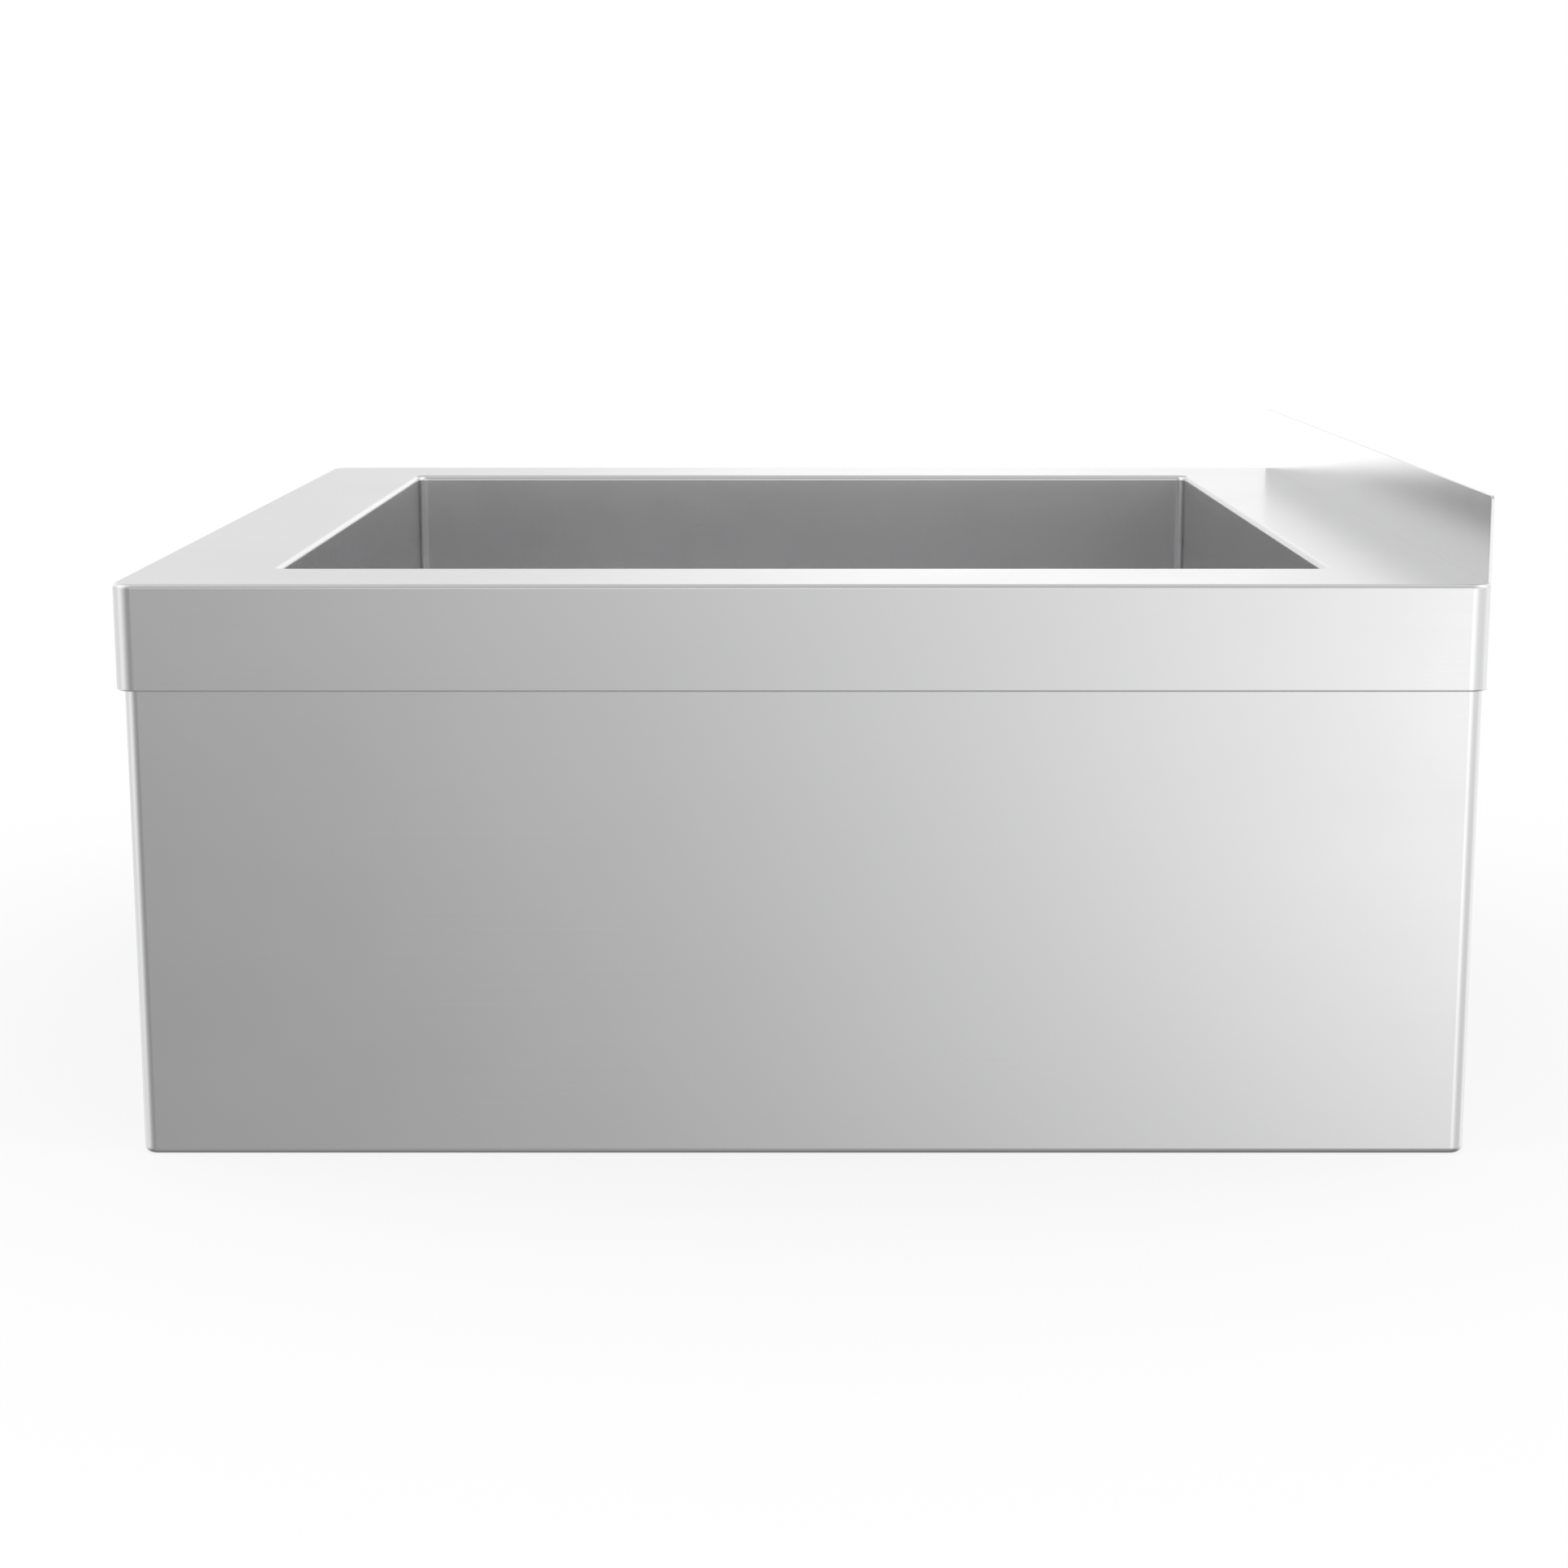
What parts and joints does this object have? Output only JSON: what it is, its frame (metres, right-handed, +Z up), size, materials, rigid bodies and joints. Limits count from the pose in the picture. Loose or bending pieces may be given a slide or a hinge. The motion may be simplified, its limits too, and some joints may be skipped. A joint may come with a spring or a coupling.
{
  "type": "floor mop sink",
  "caption": "Floor standing stainless steel mop sink: a rectangular basin in a flat deck with an apron, a skirt to the floor, one low side splash and a basket strainer.",
  "frame": {"origin": "on the floor, under the middle of the sink's outline", "axes": "+Z up, the front faces -Y, the splash stands on the +X side"},
  "size_m": [0.6096, 0.635, 0.3],
  "materials": {
    "satin_steel": "satin brushed",
    "bright_steel": "bright turned",
    "zinc_steel": "zinc plated",
    "zinc_casting": "as cast",
    "rubber": "matte",
    "fibre": "matte",
    "damping": "matte",
    "nylon": "moulded"
  },
  "bodies": {
    "sink": {"deck_top": "satin_steel", "side_splash": "satin_steel", "basin": "satin_steel", "outer_casing": "satin_steel", "deck_stiffener_front": "satin_steel", "deck_stiffener_back": "satin_steel", "deck_stiffener_left": "satin_steel", "deck_stiffener_right": "satin_steel", "corner_gusset_front_left": "satin_steel", "corner_gusset_front_right": "satin_steel", "corner_gusset_back_right": "satin_steel", "corner_gusset_back_left": "satin_steel", "weld_nut_front_left": "satin_steel", "weld_nut_front_right": "satin_steel", "weld_nut_back_right": "satin_steel", "weld_nut_back_left": "satin_steel", "strainer_body": "bright_steel", "tailpiece": "bright_steel", "lock_nut": "zinc_casting", "coupling_nut": "zinc_casting", "strainer_gasket": "rubber", "tailpiece_washer": "rubber", "friction_washer": "fibre", "sound_pad_front": "damping", "sound_pad_back": "damping", "sound_pad_left": "damping", "sound_pad_right": "damping"},
    "basket": {"strainer_basket": "bright_steel"},
    "stopper": {"stopper_post": "bright_steel", "stopper_washer": "rubber", "post_nut": "bright_steel"},
    "foot_front_left": {"foot_pad_front_left": "nylon"},
    "stud_front_left": {"foot_stud_front_left": "zinc_steel"},
    "foot_front_right": {"foot_pad_front_right": "nylon"},
    "stud_front_right": {"foot_stud_front_right": "zinc_steel"},
    "foot_back_right": {"foot_pad_back_right": "nylon"},
    "stud_back_right": {"foot_stud_back_right": "zinc_steel"},
    "foot_back_left": {"foot_pad_back_left": "nylon"},
    "stud_back_left": {"foot_stud_back_left": "zinc_steel"}
  },
  "joints": [
    {"name": "basket_lift", "type": "slide", "parent": "sink", "child": "basket", "axis": [0, 0, 1], "range_m": [0, 0.21]},
    {"name": "stopper_push", "type": "slide", "parent": "basket", "child": "stopper", "axis": [0, 0, 1], "range_m": [-0.0087, 0]},
    {"name": "foot_travel_front_left", "type": "slide", "parent": "sink", "child": "foot_front_left", "axis": [0, 0, -1], "range_m": [0, 0.015]},
    {"name": "stud_turn_front_left", "type": "hinge", "parent": "foot_front_left", "child": "stud_front_left", "pos_m": [-0.2565, -0.2692, 0.033], "axis": [0, 0, -1], "range_deg": [0, 3600]},
    {"name": "foot_travel_front_right", "type": "slide", "parent": "sink", "child": "foot_front_right", "axis": [0, 0, -1], "range_m": [0, 0.015]},
    {"name": "stud_turn_front_right", "type": "hinge", "parent": "foot_front_right", "child": "stud_front_right", "pos_m": [0.2582, -0.2692, 0.033], "axis": [0, 0, -1], "range_deg": [0, 3600]},
    {"name": "foot_travel_back_right", "type": "slide", "parent": "sink", "child": "foot_back_right", "axis": [0, 0, -1], "range_m": [0, 0.015]},
    {"name": "stud_turn_back_right", "type": "hinge", "parent": "foot_back_right", "child": "stud_back_right", "pos_m": [0.2582, 0.2692, 0.033], "axis": [0, 0, -1], "range_deg": [0, 3600]},
    {"name": "foot_travel_back_left", "type": "slide", "parent": "sink", "child": "foot_back_left", "axis": [0, 0, -1], "range_m": [0, 0.015]},
    {"name": "stud_turn_back_left", "type": "hinge", "parent": "foot_back_left", "child": "stud_back_left", "pos_m": [-0.2565, 0.2692, 0.033], "axis": [0, 0, -1], "range_deg": [0, 3600]}
  ],
  "couplings": [
    {"joint": "stud_turn_front_left", "follows": "foot_travel_front_left", "rad_per_m": 4188.8},
    {"joint": "stud_turn_front_right", "follows": "foot_travel_front_right", "rad_per_m": 4188.8},
    {"joint": "stud_turn_back_right", "follows": "foot_travel_back_right", "rad_per_m": 4188.8},
    {"joint": "stud_turn_back_left", "follows": "foot_travel_back_left", "rad_per_m": 4188.8}
  ]
}
